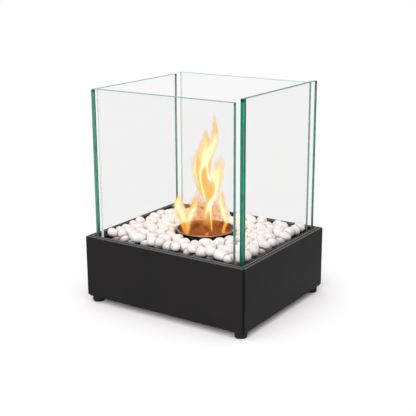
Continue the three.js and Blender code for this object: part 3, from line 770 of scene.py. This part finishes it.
# Each line starts with how far it stands toward the room at its foot and at its tip, and how
# much deeper it is than wide. Its points follow from the foot up, as seen in the photograph:
# across, height over the cup's rim, and half width.
HAZE_LINES = {
    "behind": ((-22, -22, -14), [(0, 6, 24), (-1, 10, 29), (-2, 17, 30), (-2, 25, 28),
        (-2, 34, 23), (-1, 44, 13)]),
}
VEIL_LINES = {
    "left_main": ((0, -7, 0), [(2, 29.5, 5.5), (-1.5, 46, 6.5), (-6.5, 60, 7), (-9.5, 73, 7.5),
        (-10, 86, 8), (-6.5, 97.5, 8.5), (-2, 109, 7), (0.5, 118, 5.5), (1, 127, 4),
        (0, 138.5, 1)]),
    "right_main": ((0, 5, 0), [(3.5, 38.5, 6), (3.5, 56.5, 7.5), (2, 71.5, 6.5), (1, 84.5, 6.5),
        (3.5, 97.5, 7), (8.5, 109, 6.5), (11.5, 118, 5.5), (12.5, 128, 4.5), (12.5, 138.5, 3.5),
        (12, 148.5, 2.5), (11.5, 156.5, 0.5)]),
    "right_lobe": ((0, 11, 0), [(3.5, 32, 5), (8.5, 46, 7.5), (13, 59, 7.5), (16.5, 70.5, 7.5),
        (18, 80.5, 7), (19, 91, 5), (20, 101, 1.5)]),
    "left_fork": ((4, 6, 0), [(-26, -9, 3.5), (-27, 4, 5.5), (-28.5, 14, 6), (-32.5, 24.5, 7),
        (-34.5, 33.5, 6.5), (-34.5, 41, 4), (-34, 50, 1)]),
    "inner_fork": ((3, -8, 0), [(-22, -2.5, 5), (-21.5, 10, 5.5), (-19.5, 20.5, 5.5),
        (-15.5, 30.5, 5), (-12, 39.5, 4.5), (-9, 50, 3.5), (-8, 60, 1)]),
    "right_tongue": ((-6, 4, 0), [(28.5, 0, 2), (27, 11.5, 4), (24, 24.5, 6), (21, 34.5, 6),
        (20.5, 45, 5), (21.5, 55, 1)]),
    "waist": ((0, 0, 0), [(2.5, 2.5, 4), (3, 13, 7), (2.5, 23, 7), (2.5, 33.5, 5.5)]),
    "behind_left": ((-18, -14, 0), [(-8, 18, 1.5), (-9, 27, 2.5), (-7, 34.5, 2.5),
        (-4.5, 42.5, 0.5)]),
    "behind_right": ((-18, -14, 0), [(14.5, 15.5, 2), (14.5, 24.5, 3), (13.5, 33.5, 2.5),
        (14, 41, 0.5)]),
}
BODY_LINES = {
    "left_outer": ((0, -7, 0), [(-3.5, 43.5, 1.5), (-7.5, 54, 2), (-10, 64, 2.5),
        (-12, 74.5, 2.5), (-12, 84.5, 3), (-10, 93.5, 2.5), (-8, 101, 1.5)]),
    "left_body": ((0, -7, 0), [(2, 30.5, 3), (-1, 46, 3.5), (-3.5, 60, 4.5), (-4.5, 73, 5),
        (-4, 86, 6), (-2, 97.5, 6.5), (0, 109, 5.5), (1, 118, 4), (1, 127, 2.5), (0, 135, 0.5)]),
    "right_body": ((3, 5, 0), [(5, 66.5, 3), (3.5, 77, 3), (3, 87, 3.5), (4.5, 97.5, 4.5),
        (8.5, 109, 4.5), (12, 118, 3.5), (13, 128, 3), (12.5, 138.5, 2), (12, 147.5, 1),
        (11.5, 153, 0.5)]),
    "right_lobe": ((0, 11, 0), [(4.5, 32, 3), (9, 43.5, 4), (13, 56.5, 5.5), (14.5, 66.5, 6),
        (16.5, 77, 5.5), (18.5, 84.5, 3.5), (19.5, 93.5, 1)]),
    "left_fork": ((4, 6, 0), [(-25.5, -7.5, 1), (-27.5, 4, 4), (-30, 14, 5.5), (-33, 24.5, 6),
        (-34.5, 33.5, 4.5), (-34.5, 41, 2.5), (-34, 47.5, 0.5)]),
    "inner_fork": ((3, -8, 0), [(-23, 2.5, 2), (-22, 11.5, 3), (-19.5, 20.5, 3.5),
        (-15.5, 30.5, 3), (-12.5, 38.5, 2), (-10, 46, 0.5)]),
    "right_tongue": ((-6, 4, 0), [(28, 2.5, 1), (27, 13, 2), (23.5, 24.5, 3.5), (21, 34.5, 3.5),
        (21, 43.5, 2.5), (22, 51, 0.5)]),
    "waist": ((0, 0, 0), [(-0.5, 11, 1), (1, 18, 3), (2, 25.5, 3.5), (2.5, 33.5, 3.5)]),
    "streak": ((10, 2, 0.5), [(8.5, -6.5, 0.5), (8, 2.5, 1), (7.5, 13, 1), (6.5, 23, 1),
        (6, 30.5, 1)]),
}
AMBER_LINES = {
    "heart": ((0, -1, 0), [(2.5, 36, 2), (3.5, 43.5, 4.5), (3.5, 51, 5.5), (1.5, 60, 5),
        (-1, 70.5, 3.5), (-2, 80.5, 2.5), (-3, 89.5, 1)]),
    "cup_left": ((4, 8, 0), [(-25.5, -11.5, 1), (-23.5, -4, 2), (-22, 4.5, 2), (-21, 13, 1)]),
    "cup_right": ((-6, -3, 0), [(22.5, -9.5, 1), (24.5, -2.5, 2), (26.5, 5, 2),
        (27.5, 11.5, 0.5)]),
    "skirt": ((0, 0, 0), [(8.5, 11.5, 1), (8, 18, 2.5), (7, 24.5, 2.5), (6.5, 30.5, 1)]),
}
HEART_LINES = {
    "left": ((0, -5, 8), [(1, 34.5, 0.5), (-0.5, 41, 1), (-3, 51, 1), (-5.5, 61.5, 1),
        (-6.5, 71.5, 1), (-6, 79.5, 1.5), (-2.5, 87, 3), (-0.5, 95, 4.5), (1, 102.5, 5),
        (1.5, 110, 4.5), (0.5, 118, 2.5), (0, 127, 1)]),
    "join": ((2, 3, 6), [(0.5, 86, 1), (2.5, 93, 2.5), (4.5, 101, 3), (7.5, 108, 2.5),
        (10, 115, 1)]),
    "tip": ((3, 5, 3.5), [(7, 60, 0.5), (5, 68, 1), (3, 77, 1), (2.5, 87, 1.5), (4, 96, 2.5),
        (7, 104, 3.5), (10, 111.5, 3.5), (12.5, 119, 3), (13, 128, 1.5), (12, 137, 0.5)]),
    "lobe": ((0, 11, 4.5), [(-2, 14, 0.5), (1, 20.5, 1.5), (3.5, 27, 2), (6.5, 33.5, 2),
        (9.5, 39.5, 2), (13, 46, 1.5), (15, 54, 2), (15, 61.5, 3.5), (13, 69, 6), (16, 77, 4.5),
        (19, 84.5, 2.5), (20, 92, 1)]),
    "left_edge": ((0, -6, 2), [(-7.5, 51, 0.5), (-9.5, 60, 0.5), (-12, 71.5, 1),
        (-13.5, 80.5, 1.5), (-13, 89.5, 1), (-11, 97.5, 0.5)]),
    "left_fork": ((4, 6, 6), [(-27.5, 5, 1.5), (-28.5, 11, 2.5), (-30, 18, 3.5),
        (-32.5, 24.5, 4), (-35, 30.5, 4), (-35, 38.5, 2.5), (-34.5, 46, 0.5)]),
    "inner_fork": ((3, -8, 5), [(-23.5, 7, 1.5), (-22, 12, 2.5), (-20, 17, 3), (-17.5, 23, 3),
        (-14.5, 30, 2.5), (-11.5, 42, 0.5)]),
    "right_tongue": ((-6, 4, 4), [(29, 5, 1), (27, 11.5, 2), (25, 18, 2.5), (23, 25.5, 2.5),
        (20.5, 33.5, 2), (20, 41, 2), (21, 48.5, 0.5)]),
    "streak": ((10, 2, 0.5), [(7.5, 9, 0.5), (7, 17, 0.5), (6.5, 24, 1), (6, 31, 1.5),
        (7, 39.5, 0.5)]),
}
LICK_LINES = {
    "fork_foot": ((4, 6, 4), [(-26.5, -10, 1), (-27, -4, 1.5), (-27.5, 2, 2), (-28.5, 9, 1.5),
        (-29, 16, 0.5)]),
    "lick_left": ((10, 10, 0), [(1, -11, 1), (2, -8.5, 1.5), (3.5, -6, 0.5)]),
    "lick_right": ((-6, -6, 0), [(25.5, -8.5, 1), (24.5, -5, 1), (23.5, -2, 0.5)]),
}
# Each skin's share of the half width and how much it covers, from the outside in.
HAZE_SKINS = ((1.1, 0.07), (0.95, 0.13), (0.75, 0.17), (0.5, 0.15))
VEIL_SKINS = ((1.25, 0.04), (1.08, 0.06), (0.92, 0.08), (0.76, 0.10))
BODY_SKINS = ((1.5, 0.07), (1.28, 0.12), (1.08, 0.18), (0.88, 0.24), (0.66, 0.28))
AMBER_SKINS = ((1.35, 0.08), (1.1, 0.14), (0.85, 0.20), (0.6, 0.26))
HEART_SKINS = ((2.2, 0.05), (1.8, 0.08), (1.45, 0.13), (1.15, 0.20), (0.85, 0.34), (0.55, 0.50))

flame_rng = np.random.default_rng(5)


def smooth_line(stops, steps):
    """A smooth curve through a line's points, with this many steps between two of them."""
    p = [np.array(stop) for stop in stops]
    p = [2 * p[0] - p[1], *p, 2 * p[-1] - p[-2]]
    line = []
    for i in range(1, len(p) - 2):
        for t in np.linspace(0, 1, steps, endpoint=False):
            line.append(0.5 * (2 * p[i] + (p[i + 1] - p[i - 1]) * t
                               + (2 * p[i - 1] - 5 * p[i] + 4 * p[i + 1] - p[i + 2]) * t * t
                               + (3 * p[i] - p[i - 1] - 3 * p[i + 1] + p[i + 2]) * t ** 3))
    return np.array(line + [p[-2]])


def flame_skins(lines, skins):
    """Closed skins round each line, and how much each point of them covers."""
    points, faces, covers = [], [], []
    angles = np.linspace(0, 2 * math.pi, FLAME_ROUND, endpoint=False)
    for (foot, tip, deeper), stops in lines.values():
        line = smooth_line(stops, 8)
        along = np.linspace(0, 1, len(line))
        fade = (np.clip(along / FLAME_FOOT_FADE, 0, 1)
                * np.clip((1 - along) / FLAME_TIP_FADE, 0, 1))
        wave = flame_rng.uniform(0, 6, 2)
        for share, cover in skins:
            rings = []
            for (across, rise, half), a_long, level in zip(line, along, fade):
                wide = max(half, 0.3) * share * (1 + FLAME_WAVE * math.sin(23 * a_long + wave[0]))
                deep = wide * FLAME_FLATNESS + deeper * share ** 0.3 * level
                near = foot + (tip - foot) * a_long
                up = cup_top + rise + near * math.tan(PHOTO_ELEVATION)
                middle = FLAME_ACROSS * across + FLAME_NEAR * near + FLAME_UP * up
                skin = 1 + FLAME_WAVE * np.sin(2 * angles + 9 * a_long + wave[1])
                rings.append([middle + FLAME_ACROSS * wide * w * math.cos(a)
                              + FLAME_NEAR * deep * w * math.sin(a)
                              for a, w in zip(angles, skin)])
                covers += [cover * level] * FLAME_ROUND
            faces += standing(rings, len(points))
            points += [point for ring in rings for point in ring]
    return points, faces, covers


def flame_finish(name, code, strength):
    """Burning gas: it gives light of one colour and hides what is behind it only in part."""
    material, tree, surface = finish(name)
    cover = add(tree, "Attribute", attribute_name="cover").outputs["Fac"]
    add(tree, "BsdfPrincipled", {
        "Base Color": (0, 0, 0, 1), "Roughness": 1.0, "Specular IOR Level": 0.0,
        "Emission Color": linear(code), "Emission Strength": strength, "Alpha": cover}, surface)
    material.cycles.emission_sampling = "NONE"
    return material


# Burning ethanol: an orange haze behind the foot, which is partly the gas's faint glow and partly
# painted light for the flame's glow on the stones behind it, a thin peach veil outside, yellow to
# amber inside it, nearly white hearts, and orange licks at the cup's near edge. Each row gives a
# piece's lines and skins, and the colour and strength of its light.
for name, lines, skins, code, strength in (
        ("flame_haze", HAZE_LINES, HAZE_SKINS, "#f08e1c", 1.0),
        ("flame_veil", VEIL_LINES, VEIL_SKINS, "#ffba78", 1.0),
        ("flame_body", BODY_LINES, BODY_SKINS, "#ffc850", 1.12),
        ("flame_amber", AMBER_LINES, AMBER_SKINS, "#ffb640", 1.15),
        ("flame_heart", HEART_LINES, HEART_SKINS, "#fffbca", 1.35),
        ("flame_lick", LICK_LINES, HEART_SKINS, "#f68f22", 1.05)):
    points, faces, covers = flame_skins(lines, skins)
    made = piece(name, points, faces, [flame_finish("ethanol_" + name, code, strength)],
                 "burner", sharp=180)
    values(made, "cover", covers)
    made.visible_shadow = False

# The flame's own light, on the pebbles from its waist and on the cup's wall from its foot. It
# moves with the burner.
for name, rise, energy in (("flame_glow", 28.5, 0.02), ("flame_foot_glow", -14.5, 0.05)):
    glow = bpy.data.lights.new(name, "POINT")
    glow.energy = energy
    glow.color = linear(FLAME_LIGHT)[:3]
    glow.shadow_soft_size = 0.012
    glow_place = bpy.data.objects.new(name, glow)
    glow_place.location = (0, 0, (cup_top + rise) / 1000)
    glow_place.visible_camera = False
    glow_place.visible_glossy = False
    glow_place.visible_transmission = False
    show(glow_place)
    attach(glow_place, "burner")

# Floor, lamps and camera
# A plain white studio floor that runs on to the horizon, an even room light, a large soft lamp
# overhead and a smaller one in front. The camera stands where the photograph's did.

# Sizes are in metres here, the camera's sensor in millimetres and the photograph in pixels.
FLOOR_REACH = 40
SHADOW_REACH = 0.11
PAPER_WHITE = "#fcfafa"
PAPER_BOUNCE = "#d8d8d8"
ROOM_LIGHT = 0.76
LAMP_AIM = Vector((0, 0, 0.1))
CAMERA_ROLL = math.radians(-0.248)
CAMERA_DISTANCE = 1.1993
CAMERA_SENSOR = 36
PHOTO_WIDTH = 416
PHOTO_FOCAL_LENGTH = 904.39
CAMERA_TARGET = (0.00222, 0.00214, 0.12336)


def seen_directly(tree):
    """1 where a surface is looked at, also in a gloss or through glass, and 0 for its light."""
    path = add(tree, "LightPath").outputs
    looked_at = add(tree, "Math", {0: path["Is Camera Ray"], 1: path["Is Glossy Ray"]},
                    operation="MAXIMUM")
    return add(tree, "Math", {0: looked_at, 1: path["Is Transmission Ray"]}, operation="MAXIMUM")


floor_mesh = bpy.data.meshes.new("studio_floor")
floor_mesh.from_pydata([(x * FLOOR_REACH, y * FLOOR_REACH, 0)
                        for x, y in ((-1, -1), (1, -1), (1, 1), (-1, 1))], [], [(0, 1, 2, 3)])
floor = bpy.data.objects.new("studio_floor", floor_mesh)
show(floor)

# Matt white paper. It takes the object's shadow, which fades out 110 mm away from the tray, and
# from there on it is seen as pure white.
paper, tree, surface = finish("white_studio_paper")
seen = seen_directly(tree)
white = add(tree, "Mix", {"Factor": seen, "A": linear(PAPER_BOUNCE), "B": linear(PAPER_WHITE)},
            data_type="RGBA")
sheet = add(tree, "BsdfDiffuse", {"Color": white})
glare = add(tree, "Emission", {"Color": (1, 1, 1, 1), "Strength": 1.0})
spot = add(tree, "TexCoord").outputs["Object"]
beside = add(tree, "VectorMath", {0: spot}, operation="ABSOLUTE")
outside = add(tree, "VectorMath", {0: beside, 1: tuple(tray_high * (1, 1, 0) / 1000)},
              operation="SUBTRACT")
outside = add(tree, "VectorMath", {0: outside, 1: (0, 0, 0)}, operation="MAXIMUM")
away = add(tree, "VectorMath", {0: outside}, operation="LENGTH")
far = add(tree, "MapRange", {"Value": away, "From Max": SHADOW_REACH},
          interpolation_type="SMOOTHSTEP")
far_seen = add(tree, "Math", {0: far, 1: seen}, operation="MULTIPLY")
add(tree, "MixShader", {"Fac": far_seen, 1: sheet, 2: glare}, surface)
floor_mesh.materials.append(paper)

room = bpy.data.worlds.new("studio_room")
bpy.context.scene.world = room
room.use_nodes = True
tree = room.node_tree
add(tree, "MapRange", {"Value": seen_directly(tree), "To Min": ROOM_LIGHT},
    tree.nodes["Background"].inputs["Strength"])
tree.nodes["Background"].inputs["Color"].default_value = (1, 1, 1, 1)

for name, size, energy, stand in (("overhead_softbox", 2.4, 16, Vector((0.35, -0.7, 2.1))),
                                  ("front_softbox", 1.2, 15, Vector((0.5, -1.6, 0.8)))):
    lamp = bpy.data.lights.new(name, "AREA")
    lamp.shape = "DISK"
    lamp.size = size
    lamp.energy = energy
    lamp_place = bpy.data.objects.new(name, lamp)
    lamp_place.location = stand
    lamp_place.rotation_euler = (LAMP_AIM - stand).to_track_quat("-Z", "Y").to_euler()
    show(lamp_place)

# The camera was found by matching the tray's corners, the feet, the burner's rim and the panes'
# edges to the photograph. The focal length was found in the photograph's pixels.
camera = bpy.data.cameras.new("studio_camera")
camera.sensor_width = CAMERA_SENSOR
camera.lens = PHOTO_FOCAL_LENGTH * CAMERA_SENSOR / PHOTO_WIDTH
camera.clip_start = 0.05
camera.clip_end = 200
camera_place = bpy.data.objects.new("studio_camera", camera)
back = Vector((math.sin(PHOTO_AZIMUTH) * math.cos(PHOTO_ELEVATION),
               -math.cos(PHOTO_AZIMUTH) * math.cos(PHOTO_ELEVATION), math.sin(PHOTO_ELEVATION)))
camera_place.location = Vector(CAMERA_TARGET) + back * CAMERA_DISTANCE
aim = (-back).to_track_quat("-Z", "Y").to_matrix()
camera_place.rotation_euler = (aim @ Matrix.Rotation(CAMERA_ROLL, 3, "Z")).to_euler()
show(camera_place)
bpy.context.scene.camera = camera_place

bpy.context.scene.view_settings.view_transform = "Standard"
# Enough see-through layers for the flame behind two panes.
bpy.context.scene.cycles.transparent_max_bounces = 96
